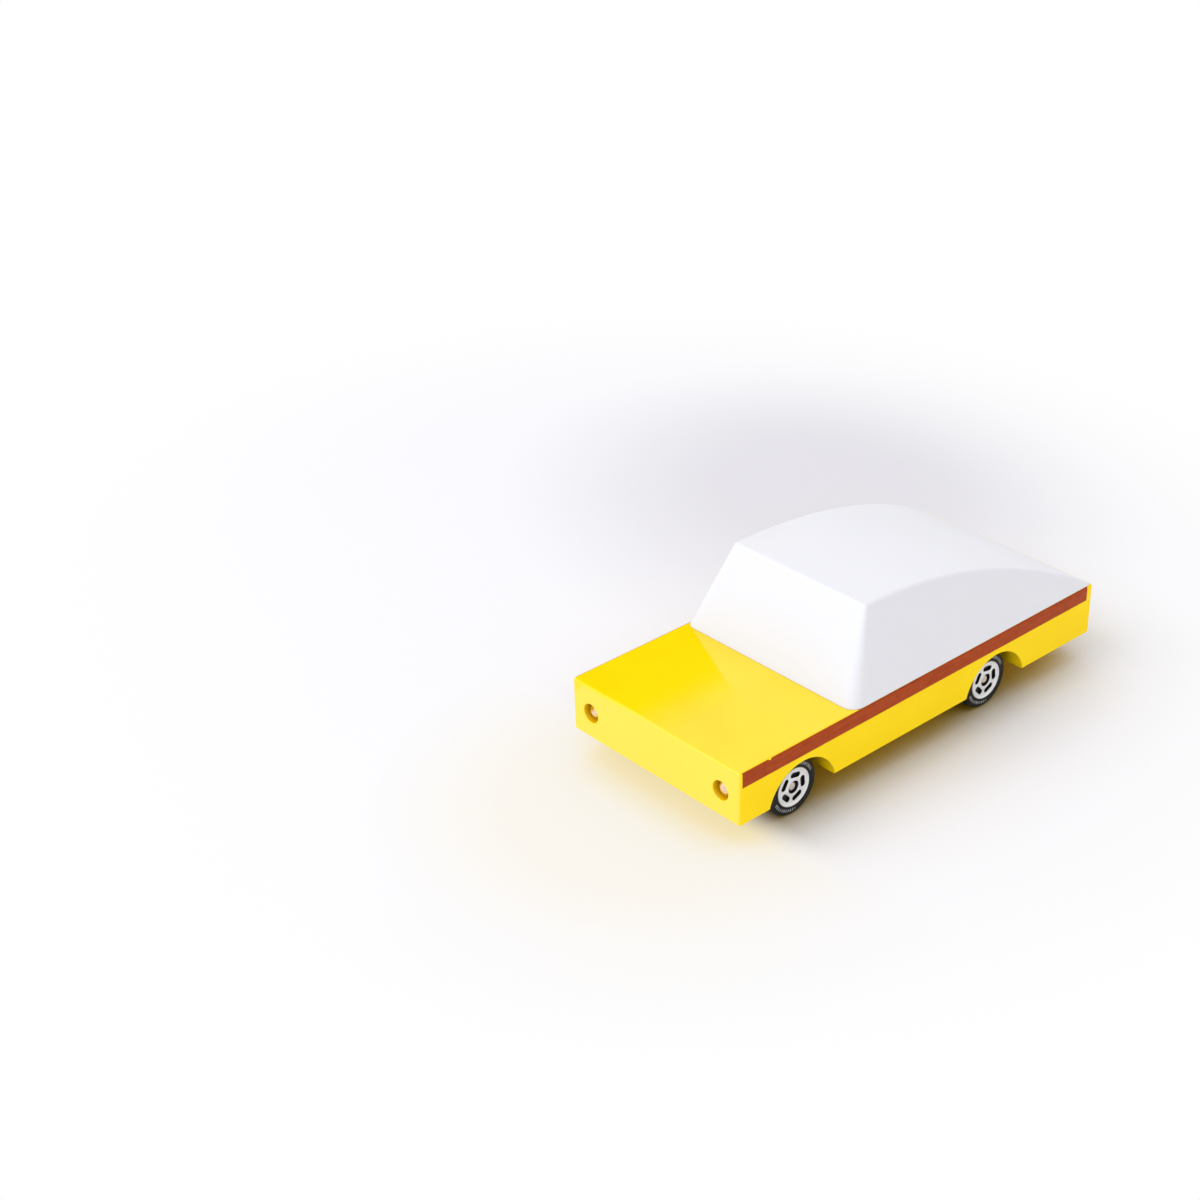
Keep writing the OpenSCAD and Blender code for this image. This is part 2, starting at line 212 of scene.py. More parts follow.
class Nodes:
    """The node tree of a finish or of the sky. Every new node comes from add."""

    def __init__(self, owner):
        owner.use_nodes = True
        self.owner = owner
        self.tree = owner.node_tree

    def add(self, kind, settings=None, sockets=None, out=0):
        """New node with its settings, then the values or links of its sockets. Gives one output."""
        node = self.tree.nodes.new(kind)
        for key, value in (settings or {}).items():
            setattr(node, key, value)
        self.plug(node, sockets or {})
        return Value(self, node.outputs[out])

    def plug(self, node, sockets):
        """Sets or links sockets of a node."""
        for key, value in sockets.items():
            if isinstance(value, Value):
                self.tree.links.new(value.socket, node.inputs[key])
            else:
                node.inputs[key].default_value = value

    def surface(self, sockets):
        """Sets the sockets of the finish's shader and gives the finish."""
        self.plug(self.tree.nodes["Principled BSDF"], sockets)
        return self.owner

    def math(self, operation, first, second=0.0):
        return self.add("ShaderNodeMath", {"operation": operation}, {0: first, 1: second})

    def spot(self, stretch=(1, 1, 1)):
        """Place on the piece in millimetres, times a factor along each axis."""
        here = self.add("ShaderNodeTexCoord", out="Object")
        scale = [factor / mm for factor in stretch]
        return self.add("ShaderNodeVectorMath", {"operation": "MULTIPLY"}, {0: here, 1: scale})

    def axes(self, vector):
        """X, Y and Z of a vector."""
        split = self.add("ShaderNodeSeparateXYZ", sockets={0: vector})
        return [Value(self, output) for output in split.socket.node.outputs]

    def noise(self, scale, detail, stretch=(1, 1, 1)):
        """Noise over the piece, finer with scale, and drawn out along an axis of small stretch."""
        sockets = {"Vector": self.spot(stretch), "Scale": scale, "Detail": detail, "Roughness": 0.55}
        return self.add("ShaderNodeTexNoise", sockets=sockets)

    def range(self, value, low, high, to_low=0.0, to_high=1.0):
        """Smooth step from to_low, where the value is low, to to_high, where it is high."""
        sockets = {0: value, 1: low, 2: high, 3: to_low, 4: to_high}
        return self.add("ShaderNodeMapRange", {"interpolation_type": "SMOOTHSTEP"}, sockets)

    def spread(self, noise, to_low=0.0, to_high=1.0):
        """Noise spread over a span, since nearly all of it lies between 0.3 and 0.7."""
        return self.range(noise, 0.3, 0.7, to_low, to_high)

    def openness(self, reach):
        """How open a place is, from 1 in the open down to 0, judged by what lies within reach."""
        return self.add("ShaderNodeAmbientOcclusion", {"samples": 8}, {"Distance": reach}, out="AO")

    def mix(self, factor, a, b):
        """Colour between a, where the factor is 0, and b, where it is 1."""
        return self.add("ShaderNodeMix", {"data_type": "RGBA"}, {0: factor, 6: a, 7: b}, out=2)

    def bump(self, height, depth):
        return self.add("ShaderNodeBump", sockets={"Height": height, "Distance": depth})


def finish(name):
    """A new finish, still to be given its surface."""
    return Nodes(bpy.data.materials.new(name))


def lacquer(name, tones, front_from, coat, coat_rough):
    """Sprayed lacquer over sanded wood: faint long grain, orange peel and a few dust nibs. Its tone
    wanders in random clouds and is painted deeper on faces that look up, as painted light. Its clear
    coat is thinner on the flanks. Faces that look ahead, forward of front_from, are painted in a tone
    of their own for the light that falls on them, and hollows are painted darker, as painted shade."""
    nodes = finish(name)
    grain = nodes.noise(1.6, 5, stretch=(0.05, 0.9, 0.9))
    clouds = nodes.noise(0.09, 2)
    peel = nodes.noise(1.1, 2)
    nib_away = nodes.add("ShaderNodeTexVoronoi", sockets={"Vector": nodes.spot(), "Scale": 0.16})
    nib = nodes.range(nib_away, 0.0, 0.03, 1.0, 0.0)
    ahead, sideways, upward = nodes.axes(nodes.add("ShaderNodeNewGeometry", out="Normal"))
    flank = nodes.range(nodes.math("ABSOLUTE", sideways), 0.5, 0.95, 1.0, flank_coat)
    cloudy = nodes.range(clouds * 0.75 + grain * 0.25, 0.35, 0.68)
    # Faces that look up are painted the deeper tone, as painted light, mixed with the random clouds
    on_top = nodes.range(upward, 0.5, 0.95)
    top_toned = nodes.mix(cloudy * 0.4 + on_top * 0.6, tones["base_tone"], tones["clouds_and_top_tone"])
    # Faces that look ahead, forward of front_from, are painted the front tone: painted light
    forward = nodes.axes(nodes.spot())[0] > front_from / mm
    outside = nodes.mix(forward * nodes.range(ahead, 0.3, 0.9), top_toned, tones["front"])
    # Hollows are painted darker by how open each place is: painted shade, lighter in the headlight
    # recesses
    hollow_shade = nodes.mix(forward, tones["hollow_shade"], tones["front hollow"])
    unshaded = nodes.range(nodes.openness(hollow_reach), 0.2, 0.7)
    return nodes.surface({
        "Base Color": nodes.mix(unshaded, hollow_shade, outside),
        "Roughness": nodes.spread(grain, 0.42, 0.5),
        "Specular IOR Level": 0.0,
        "Coat Weight": nodes.spread(clouds, coat, coat * 0.9) * flank,
        "Coat IOR": 1.5,
        "Coat Roughness": coat_rough,
        "Normal": nodes.bump(grain * 0.08 + peel * 0.35 + nib * 0.8, 0.01 * mm),
    })


def mouth(radius, depth, lip):
    """Quarter round by which a cutter of this radius widens where it leaves the wood."""
    return arc((radius + lip, depth - lip), lip, start=180, end=92, steps=5)


def well_cutter(x, side):
    """Round cutter of a wheel well: it enters from the side and leaves a softened lip."""
    arch_z = tyre_high.z + arch_gap - arch_r
    profile = [(0, web_y), (arch_r - arch_lip, web_y), (arch_r, web_y + arch_lip)]
    profile += mouth(arch_r, side_y, arch_lip)
    profile += [(arch_r + arch_lip, side_y + past), (0, side_y + past)]
    place = Matrix.Translation((x - arch_back, 0, arch_z))
    return lathe(profile, place @ Matrix.Rotation(-side * math.pi / 2, 4, "X"))


def lamp_place(box):
    """Middle of a headlight on the floor of its recess, with Z turned to look ahead."""
    middle = (box[0] + box[1]) / 2
    floor_at = Matrix.Translation((body_high.x - lamp_depth, middle.y, middle.z))
    return floor_at @ Matrix.Rotation(math.pi / 2, 4, "Y")


def lamp_cutter(box):
    """Flat-bottomed drill of a headlight recess, with a softened rim."""
    profile = [(0, 0), (lamp_r, 0)] + mouth(lamp_r, lamp_depth, lamp_lip)
    profile += [(lamp_r + lamp_lip, lamp_depth + past), (0, lamp_depth + past)]
    return lathe(profile, lamp_place(box))


def seat_cutters(box):
    """Milling cuts for a carrier: a slot for its bar and a shallow rebate for its plate."""
    low, high = box
    x = (low.x + high.x) / 2
    wide = web_y + past
    cuts = [(bar_l / 2, high.z + glue_gap), ((high.x - low.x) / 2, body_low.z + plate_let_in)]
    return [
        block((x - reach - glue_gap, -wide, low.z), (x + reach + glue_gap, wide, top))
        for reach, top in cuts
    ]


def dowel_cutters():
    """Blind holes for the two dowels that locate the cabin, with room for the glue."""
    wall = dowel_r + glue_gap
    bottom = dowel_low.z - dowel_spare
    top = dowel_high.z + dowel_spare
    profile = [(0, bottom), (wall, bottom), (wall, top), (0, top)]
    places = [dowel_low.x + dowel_r, dowel_high.x - dowel_r]
    return [lathe(profile, Matrix.Translation((x, 0, 0)), steps=48) for x in places]


axle_xs = [(low.x + high.x) / 2 for low, high in carrier_boxes.values()]
body_cuts = [well_cutter(x, side) for x in axle_xs for side in (1, -1)]
body_cuts += [lamp_cutter(box) for box in lamp_boxes.values()]
for box in carrier_boxes.values():
    body_cuts += seat_cutters(box)
body_cuts += dowel_cutters()
body_lacquer = lacquer("yellow_lacquer", yellow_tones, recess_back, coat=1.0, coat_rough=0.09)
body = piece("body", carve(block(body_low, body_high, edge_r), body_cuts), body_lacquer)
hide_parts("body_block")
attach(body, "chassis")

# Cabin block. A second block of beech, bandsawn to a raked windscreen and one long roof arc,
# its sides planed to lean in and its corners sanded, more at the foot of the windscreen
# than at the top. It is lacquered white before it is dowelled and glued to the body.
cabin_low, cabin_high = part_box("cabin_block")
cabin_h = cabin_high.z - cabin_low.z
screen_run = 7.6 * mm
screen_top_r = 0.8 * mm
crown_back = 1.4 * mm
side_lean = 4.85 * mm
foot_corner_r = 2.6 * mm
top_corner_r = 0.75 * mm
tail_corner_r = 0.5 * mm
base_ease = 0.15 * mm
below = 3 * mm
# Tones of the white lacquer. The darker tone is painted on the roof, as painted light, and in random
# clouds; the cooler front tone is painted light on the windscreen, against the warm light from the
# bonnet; the hollow tones are painted shade.
white_tones = {
    "base_tone": (0.748, 0.75, 0.792, 1),
    "clouds_and_top_tone": (0.728, 0.73, 0.772, 1),
    "front": (0.752, 0.774, 0.855, 1),
    "hollow_shade": (0.6, 0.6, 0.62, 1),
    "front hollow": (0.6, 0.6, 0.62, 1),
}


def cabin_outline():
    """Side view from under the windscreen's foot, over the roof, to under the tail: for each
    point, its place and outward normal in X and Z, and the radius of the corner beside it."""
    crown = Vector((cabin_high.x - screen_run - crown_back, cabin_high.z))
    roof_run = crown.x - cabin_low.x
    roof_r = (roof_run**2 + cabin_h**2) / (2 * cabin_h)
    centre = crown - Vector((0, roof_r))
    up = Vector((-screen_run, cabin_h)).normalized()
    out = Vector((up.y, -up.x))
    foot = Vector((cabin_high.x, cabin_low.z))
    # The small arc at the top of the windscreen touches both the windscreen and the roof
    inner = foot - out * screen_top_r - centre
    half = inner.dot(up)
    walk = -half + math.sqrt(half**2 - inner.dot(inner) + (roof_r - screen_top_r) ** 2)
    turn = centre + inner + up * walk
    roof_out = (turn - centre).normalized()
    points = []
    screen_steps = 14
    for k in range(screen_steps + 1):
        climb = -below + (walk + below) * k / screen_steps
        rise = max(0, min(1, climb / walk))
        corner_r = foot_corner_r + (top_corner_r - foot_corner_r) * rise
        points.append((foot + up * climb, out, corner_r))
    turn_steps = 8
    for k in range(1, turn_steps):
        away = out.lerp(roof_out, k / turn_steps).normalized()
        points.append((turn + away * screen_top_r, away, top_corner_r))
    roof_steps = 60
    start = math.atan2(roof_out.y, roof_out.x)
    end = math.pi - math.asin((cabin_low.z - below - centre.y) / roof_r)
    for k in range(roof_steps + 1):
        angle = start + (end - start) * k / roof_steps
        away = Vector((math.cos(angle), math.sin(angle)))
        corner_r = top_corner_r + (tail_corner_r - top_corner_r) * k / roof_steps
        points.append((centre + away * roof_r, away, corner_r))
    return points


def cabin_shell():
    """Windscreen and roof as one strip across the car, rounded over into flat leaning sides."""
    lean = math.hypot(side_lean, cabin_h)
    side_out = Vector((0, cabin_h / lean, side_lean / lean))
    corner_steps = 6
    strip_steps = 4
    bm = bmesh.new()
    rows = []
    for place, away, radius in cabin_outline():
        out = Vector((away.x, 0, away.y))
        core = place - away * radius
        core_y = cabin_high.y - (radius + (core.y - cabin_low.z) * side_out.z) / side_out.y
        core_point = Vector((core.x, core_y, core.y))
        turns = [out.slerp(side_out, k / corner_steps) for k in range(corner_steps + 1)]
        corner = [core_point + radius * turn for turn in turns]
        shares = [1 - 2 * k / strip_steps for k in range(1, strip_steps)]
        strip = [Vector((place.x, core_y * share, place.y)) for share in shares]
        mirrored = [Vector((p.x, -p.y, p.z)) for p in corner]
        rows.append([bm.verts.new(p) for p in corner[::-1] + strip + mirrored])
    for row, next_row in zip(rows, rows[1:]):
        for k in range(len(row) - 1):
            bm.faces.new((row[k], row[k + 1], next_row[k + 1], next_row[k]))
    bm.faces.new([row[0] for row in rows])
    bm.faces.new([row[-1] for row in rows])
    bm.faces.new(rows[0] + rows[-1][::-1])
    bmesh.ops.recalc_face_normals(bm, faces=bm.faces)
    # Saw it off at the deck and ease the edge of the cut
    everything = bm.verts[:] + bm.edges[:] + bm.faces[:]
    deck = {"plane_co": (0, 0, cabin_low.z), "plane_no": (0, 0, 1)}
    bmesh.ops.bisect_plane(bm, geom=everything, clear_inner=True, dist=1e-7, **deck)
    rim = [edge for edge in bm.edges if edge.is_boundary]
    bmesh.ops.holes_fill(bm, edges=rim)
    bmesh.ops.bevel(bm, geom=rim, offset=base_ease, segments=2, profile=0.5, affect="EDGES")
    bmesh.ops.recalc_face_normals(bm, faces=bm.faces)
    return bm


cabin_lacquer = lacquer("white_lacquer", white_tones, cabin_low.x, coat=0.5, coat_rough=0.25)
cabin = piece("cabin", carve(cabin_shell(), dowel_cutters()), cabin_lacquer)
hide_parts("cabin_block")
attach(cabin, "chassis")

# Dowels. Two bare dowels of turned beech that stand half in the body and half in the cabin, glued
# into blind holes. They are out of sight, so their solids stay and only get a finish.
pale_beech = (0.66, 0.46, 0.27, 1)
dark_beech = (0.52, 0.33, 0.17, 1)


def dress(name, material):
    """Gives a node of the frame its finish."""
    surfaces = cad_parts[name].data.materials
    surfaces.clear()
    surfaces.append(material)


nodes = finish("bare_wood")
rings = nodes.noise(1.4, 5, stretch=(1, 1, 0.06))
nodes.surface({
    "Base Color": nodes.mix(nodes.spread(rings), pale_beech, dark_beech),
    "Roughness": nodes.spread(rings, 0.6, 0.75),
    "Normal": nodes.bump(rings, 0.03 * mm),
})
dress("cabin_dowels", nodes.owner)

# Side stripes. A thin red-brown film pressed on along the top of each side, where it follows the
# flat of the side and laps over the sanded edge, thinner at its rim. The left one has a small
# chip in its top edge near the front, down to the yellow. The chip's sizes are in millimetres.
stripe_low, stripe_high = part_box("left_stripe")
stripe_t = 0.1 * mm
stripe_rim_t = 0.03 * mm
stripe_sink = 0.02 * mm
stripe_edge = 0.18 * mm
chip_x = 38.6
chip_half = 0.4
chip_depth = 0.18
red_brown = (0.405, 0.059, 0.006, 1)
dark_red_brown = (0.335, 0.044, 0.005, 1)


def stripe_spot(height, out):
    """Point of the film: how high it lies on the car, and how far out from the wood."""
    curl_z = body_high.z - edge_r
    if height <= curl_z:
        return Vector((0, side_y + out, height))
    angle = math.asin(min(1, (height - curl_z) / edge_r))
    reach = edge_r + out
    return Vector((0, side_y - edge_r + reach * math.cos(angle), curl_z + reach * math.sin(angle)))


def stripe_film(side):
    """Closed mesh of the film on one side: its outer face, its face in the wood, and its rim."""
    length_steps = 120
    height_steps = 16
    bm = bmesh.new()
    faces = []
    for outer in (True, False):
        grid = []
        for i in range(length_steps + 1):
            x = stripe_low.x + (stripe_high.x - stripe_low.x) * i / length_steps
            end_gap = min(x - stripe_low.x, stripe_high.x - x)
            column = []
            for j in range(height_steps + 1):
                height = stripe_low.z + (stripe_high.z - stripe_low.z) * j / height_steps
                gap = min(end_gap, height - stripe_low.z, stripe_high.z - height)
                press = min(1, gap / stripe_edge)
                swell = math.sqrt(1 - (1 - press) ** 2)
                film_t = stripe_rim_t + (stripe_t - stripe_rim_t) * swell
                point = stripe_spot(height, film_t if outer else -stripe_sink)
                column.append(bm.verts.new((x, side * point.y, point.z)))
            grid.append(column)
        for i in range(length_steps):
            for j in range(height_steps):
                bm.faces.new((grid[i][j], grid[i + 1][j], grid[i + 1][j + 1], grid[i][j + 1]))
        faces.append(grid)
    top, under = faces
    rim = [(i, 0) for i in range(length_steps)]
    rim += [(length_steps, j) for j in range(height_steps)]
    rim += [(i, height_steps) for i in range(length_steps, 0, -1)]
    rim += [(0, j) for j in range(height_steps, 0, -1)]
    for (i, j), (m, n) in zip(rim, rim[1:] + rim[:1]):
        bm.faces.new((top[i][j], top[m][n], under[m][n], under[i][j]))
    bmesh.ops.recalc_face_normals(bm, faces=bm.faces)
    return bm


nodes = finish("stripe_film")
streaks = nodes.noise(2.4, 4, stretch=(0.06, 1, 1))
mottle = nodes.noise(0.7, 3)
film = nodes.mix(nodes.range(streaks * 0.5 + mottle * 0.5, 0.35, 0.65), red_brown, dark_red_brown)
x, y, z = nodes.axes(nodes.spot())
# The mottle makes the chip ragged
chip_away = nodes.math("ABSOLUTE", x - chip_x + mottle)
chip = nodes.range(chip_away, 0.0, chip_half, chip_depth, 0.0)
chipped = (z > stripe_high.z / mm - chip) * (y > 0)
nodes.surface({
    "Base Color": nodes.mix(chipped, film, yellow_tones["base_tone"]),
    "Roughness": nodes.spread(streaks, 0.36, 0.5),
    "Specular IOR Level": 0.1,
    "Normal": nodes.bump(streaks * 0.3 + mottle * 0.4, 0.01 * mm),
})
for name, side in (("left", 1), ("right", -1)):
    stripe = piece(name + "_side_stripe", stripe_film(side), nodes.owner)
    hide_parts(name + "_stripe")
    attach(stripe, "chassis")

# Headlights. A round-headed nail of polished, copper-coloured brass in each recess, with a low
# domed head that sits on the recess's floor and a shank that is driven into the wood behind it.
stud_r = 1.5 * mm
stud_h = 1 * mm
stud_rim = 0.12 * mm
shank_r = 0.6 * mm
copper = (0.96, 0.76, 0.54, 1)
dull_copper = (0.84, 0.58, 0.35, 1)
nodes = finish("stud_brass")
tarnish = nodes.noise(1.8, 4)
scratch = nodes.noise(3.0, 3, stretch=(1, 4, 0.5))
nodes.surface({
    "Base Color": nodes.mix(nodes.range(tarnish, 0.35, 0.75), copper, dull_copper),
    "Metallic": 1.0,
    "Roughness": nodes.spread(tarnish, 0.12, 0.2),
    "Normal": nodes.bump(scratch, 0.001 * mm),
})
dome_h = stud_h - stud_rim
dome_r = (stud_r**2 + dome_h**2) / (2 * dome_h)
dome_half = math.degrees(math.asin(stud_r / dome_r))
dome = arc((0, stud_h - dome_r), dome_r, start=90 - dome_half, end=90, steps=12)
dome[-1] = (0, stud_h)
for name, box in lamp_boxes.items():
    shank_l = box[1].x - box[0].x - stud_h
    profile = [(0, -shank_l), (shank_r, -shank_l + shank_r), (shank_r, 0), (stud_r, 0)] + dome
    stud = piece(name + "_headlight_stud", lathe(profile, lamp_place(box), steps=64), nodes.owner)
    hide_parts(name + "_headlight")
    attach(stud, "chassis")

# Axle carriers. Two bearings of moulded black nylon, each a plate let into the underside with a
# bar above it in a slot of the body. The axle turns in the bar's bore. Their solids stay.
nylon = (0.026, 0.026, 0.028, 1)
pale_nylon = (0.04, 0.04, 0.042, 1)
nodes = finish("carrier_nylon")
moulding = nodes.noise(5.0, 3)
flow = nodes.noise(0.5, 2, stretch=(0.3, 1, 1))
nodes.surface({
    "Base Color": nodes.mix(nodes.spread(flow), nylon, pale_nylon),
    "Roughness": nodes.spread(moulding, 0.42, 0.6),
    "Normal": nodes.bump(moulding, 0.015 * mm),
})
for end in ("front", "rear"):
    dress(end + "_axle_carrier", nodes.owner)

# Carrier screws. Four small countersunk screws of zinc-plated steel with a cross slot, two
# through each carrier's plate into the wood of the body. Their solids stay.
zinc = (0.66, 0.66, 0.67, 1)
dull_zinc = (0.5, 0.5, 0.5, 1)
nodes = finish("screw_steel")
plating = nodes.noise(3.5, 4)
nodes.surface({
    "Base Color": nodes.mix(nodes.spread(plating), zinc, dull_zinc),
    "Metallic": 1.0,
    "Roughness": nodes.spread(plating, 0.24, 0.42),
    "Normal": nodes.bump(plating, 0.006 * mm),
})
dress("carrier_screws", nodes.owner)

# Axles. Two lengths of drawn steel rod with chamfered ends, dulled by a brown stain. They turn
# in the carriers, and only their ends show, in the eyes of the hubcaps. Their solids stay.
steel = (0.74, 0.67, 0.59, 1)
stained_steel = (0.6, 0.54, 0.48, 1)
nodes = finish("axle_steel")
drawn = nodes.noise(1.2, 3, stretch=(6, 0.3, 6))
stain = nodes.noise(1.2, 3)
nodes.surface({
    "Base Color": nodes.mix(nodes.spread(stain), steel, stained_steel),
    "Metallic": 0.5,
    "Roughness": nodes.spread(drawn, 0.28, 0.46),
    "Normal": nodes.bump(drawn, 0.006 * mm),
})
for end in ("front", "rear"):
    dress(end + "_axle", nodes.owner)

# Hubs. Four hubs of moulded black plastic, pressed on the ends of the axles inside the tyres.
# They show only through the slots and eyes of the hubcaps, so their solids stay.
wheels = ("front_left", "front_right", "rear_left", "rear_right")
hub_black = (0.012, 0.012, 0.013, 1)
hub_grey = (0.022, 0.022, 0.024, 1)
nodes = finish("hub_plastic")
moulding = nodes.noise(4.0, 3)
nodes.surface({
    "Base Color": nodes.mix(nodes.spread(moulding), hub_black, hub_grey),
    "Roughness": nodes.spread(moulding, 0.4, 0.6),
    "Normal": nodes.bump(moulding, 0.012 * mm),
})
for wheel in wheels:
    dress(wheel + "_hub", nodes.owner)

# Tyres. Four rings of moulded black rubber on the hubs, with round shoulders, a bead, a shallow
# ring on the sidewall and a fine groove where the mould parts. Two rows of plain ticks, half worn
# off, are printed on each outer sidewall. Angles are in degrees.
hub_r = 3.7 * mm
tyre_r = (tyre_high.x - tyre_low.x) / 2
tyre_w = tyre_high.y - tyre_low.y
shoulder_r = 0.7 * mm
bead_w = 0.26 * mm
ring_dip = 0.06 * mm
ring_w = 0.12 * mm
seam_h = 0.02 * mm
seam_w = 0.1 * mm
band_low_r = 4.14 * mm
band_high_r = 4.66 * mm
scuff_from = 0.3 * mm
scuff_by = 0.05 * mm
tick_pitch = 7.0
tick_share = 0.32
tick_arc = 37
tick_turn = 60
rubber = (0.005, 0.005, 0.006, 1)
dusty_rubber = (0.012, 0.012, 0.013, 1)
scuffed_rubber = (0.03, 0.029, 0.027, 1)
tick_white = (0.72, 0.72, 0.73, 1)


def sidewall(face, out):
    """Half of a tyre's profile from the hub to the shoulder, on the face that looks out."""
    bead_r = hub_r + bead_w
    dip = face - out * ring_dip
    bead = [(hub_r, face), (bead_r, face)]
    ring = [(bead_r + ring_w / 3, dip), (bead_r + ring_w, dip)]
    band = [(band_low_r, face - out * ring_dip / 3), (band_high_r, face - out * ring_dip / 3)]
    middle = (tyre_r - shoulder_r, face - out * shoulder_r)
    turned = arc(middle, shoulder_r, start=84, end=0, steps=8)
    shoulder = [(r, middle[1] + out * (h - middle[1])) for r, h in turned]
    return bead + ring + band + shoulder


def from_axis(across, along):
    """Distance from an axis, by the two coordinates square to it."""
    return across.nodes.math("SQRT", across * across + along * along)


def on_axle(obj, node, turn=0.0):
    """Puts a round piece where its node is, with its outer face to that side of the car."""
    end, hand, _ = node.split("_")
    side = 1 if hand == "left" else -1
    low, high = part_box(node)
    stand = Matrix.Translation((low + high) / 2) @ Matrix.Rotation(-side * math.pi / 2, 4, "X")
    obj.matrix_world = stand @ Matrix.Rotation(math.radians(-side * turn), 4, "Z")
    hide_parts(node)
    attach(obj, end + "_wheelset")


nodes = finish("tyre_rubber")
x, y, z = nodes.axes(nodes.spot())
radius = from_axis(x, y)
angle = nodes.math("ARCTAN2", y, x) * math.degrees(1)
# Two opposite rows of ticks: fold the angle into half turns about the middle of one
half_turn = nodes.math("PINGPONG", angle + (360 - tick_turn), 90)
tick = nodes.math("FRACT", (angle + 360) / tick_pitch)
grain = nodes.noise(6.0, 3)
dust = nodes.noise(0.9, 4)
on_band = (radius > band_low_r / mm) * (radius < band_high_r / mm)
printed = on_band * (half_turn < tick_arc) * (tick < tick_share) * (z > 0)
worn = printed * nodes.range(dust, 0.35, 0.6, 0.35, 0.8)
tread = nodes.range(radius, (tyre_r - scuff_from) / mm, (tyre_r - scuff_by) / mm)
dusted = nodes.mix(nodes.range(dust, 0.4, 0.75), rubber, dusty_rubber)
scuffed = nodes.mix(tread * nodes.range(dust, 0.45, 0.7) * 0.5, dusted, scuffed_rubber)
nodes.surface({
    "Base Color": nodes.mix(worn, scuffed, tick_white),
    "Specular IOR Level": 0.3,
    "Roughness": nodes.spread(grain, 0.46, 0.66),
    "Normal": nodes.bump(grain * 0.6 + dust * 0.4, 0.015 * mm),
})
seam_r = tyre_r - seam_h
tyre_profile = sidewall(tyre_w / 2, 1)
tyre_profile += [(tyre_r, seam_w), (seam_r, seam_w / 2), (seam_r, -seam_w / 2), (tyre_r, -seam_w)]
tyre_profile += sidewall(-tyre_w / 2, -1)[::-1]
tyre_mesh = skin("tyre", lathe(tyre_profile, Matrix(), steps=128, ring=True), nodes.owner)
for wheel in wheels:
    on_axle(show(wheel + "_tyre_ring", tyre_mesh), wheel + "_tyre")

# Hubcaps. Thin discs of black plastic with a raised lip at the edge and round the eye and five
# slots with round ends, silver-coated on their outer faces only and pressed into the tyres. Each
# wheel has stopped at a turn of its own, in degrees.
cap_low, cap_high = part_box("front_left_hubcap")
cap_r = (cap_high.x - cap_low.x) / 2
cap_t = cap_high.y - cap_low.y
lip_w = 0.4 * mm
lip_h = 0.2 * mm
plate_z = cap_t / 2 - lip_h
coat_reach = 0.03 * mm
rubbed_w = 0.18 * mm
eye_r = 1.2 * mm
slot_count = 5
slot_l = 2.2 * mm
slot_w = 0.95 * mm
slot_ring_r = 2.25 * mm
slot_ease = 0.07 * mm
cap_turns = {"front_left": 30, "front_right": 12, "rear_left": 28, "rear_right": 40}
cap_black = (0.01, 0.01, 0.011, 1)
silver = (0.86, 0.87, 0.9, 1)
grimy_silver = (0.74, 0.75, 0.78, 1)
edge_grey = (0.3, 0.3, 0.31, 1)


def cap_blank():
    """Disc with two round lips, its back at minus half its thickness."""
    back = -cap_t / 2
    lip_r = lip_w / 2
    rise = cap_t / 2 - lip_r
    eye_lip = arc((eye_r + lip_r, rise), lip_r, start=180, end=20, steps=8)
    edge_lip = arc((cap_r - lip_r, rise), lip_r, start=160, end=0, steps=8)
    lip_foot = 1.25 * lip_w
    flat = [(eye_r + lip_foot, plate_z), (cap_r - lip_foot, plate_z)]
    profile = [(eye_r, back)] + eye_lip + flat + edge_lip + [(cap_r, back)]
    return lathe(profile, Matrix(), steps=120, ring=True)


def slot_cutter(turn):
    """Cutter with the outline of a slot that widens where it meets the disc's face."""
    steps = 24
    ease_low = plate_z - slot_ease
    ease_high = plate_z + 0.2 * slot_ease
    levels = [(-cap_t, 0), (ease_low, 0), (ease_high, slot_ease), (cap_t, slot_ease)]
    bm = bmesh.new()
    rings = []
    for height, wider in levels:
        ring = []
        for k in range(steps):
            angle = 2 * math.pi * (k + 0.5) / steps
            end = math.copysign((slot_l - slot_w) / 2, math.sin(angle))
            spread = slot_w / 2 + wider
            across = slot_ring_r + spread * math.cos(angle)
            spot = Vector((across, end + spread * math.sin(angle), height))
            ring.append(bm.verts.new(Matrix.Rotation(turn, 4, "Z") @ spot))
        rings.append(ring)
    for low, high in zip(rings, rings[1:]):
        for k in range(steps):
            n = (k + 1) % steps
            bm.faces.new((low[k], low[n], high[n], high[k]))
    bm.faces.new(rings[0])
    bm.faces.new(rings[-1])
    bmesh.ops.recalc_face_normals(bm, faces=bm.faces)
    return bm


nodes = finish("hubcap_silver")
x, y, z = nodes.axes(nodes.spot())
radius = from_axis(x, y)
coated = z > (plate_z - coat_reach) / mm
rings = nodes.add("ShaderNodeTexNoise", {"noise_dimensions": "1D"}, {"W": radius * 9.0, "Detail": 3.0})
flake = nodes.noise(7.0, 2)
grime = nodes.noise(1.1, 4)
near_edge = nodes.range(radius, (cap_r - rubbed_w) / mm, cap_r / mm)
grimy = nodes.mix(nodes.range(grime, 0.35, 0.75), silver, grimy_silver)
rubbed = nodes.mix(near_edge * 0.6, grimy, edge_grey)
nodes.surface({
    "Base Color": nodes.mix(coated, cap_black, rubbed),
    "Metallic": coated * nodes.range(grime, 0.3, 0.8, 0.4, 0.25),
    "Roughness": nodes.spread(flake, 0.3, 0.42),
    "Normal": nodes.bump(rings * 0.5 + flake * 0.5, 0.008 * mm),
})
cap_cuts = [slot_cutter(2 * math.pi * k / slot_count) for k in range(slot_count)]
cap_mesh = skin("cap", carve(cap_blank(), cap_cuts), nodes.owner)
for wheel in wheels:
    on_axle(show(wheel + "_cap", cap_mesh), wheel + "_hubcap", cap_turns[wheel])
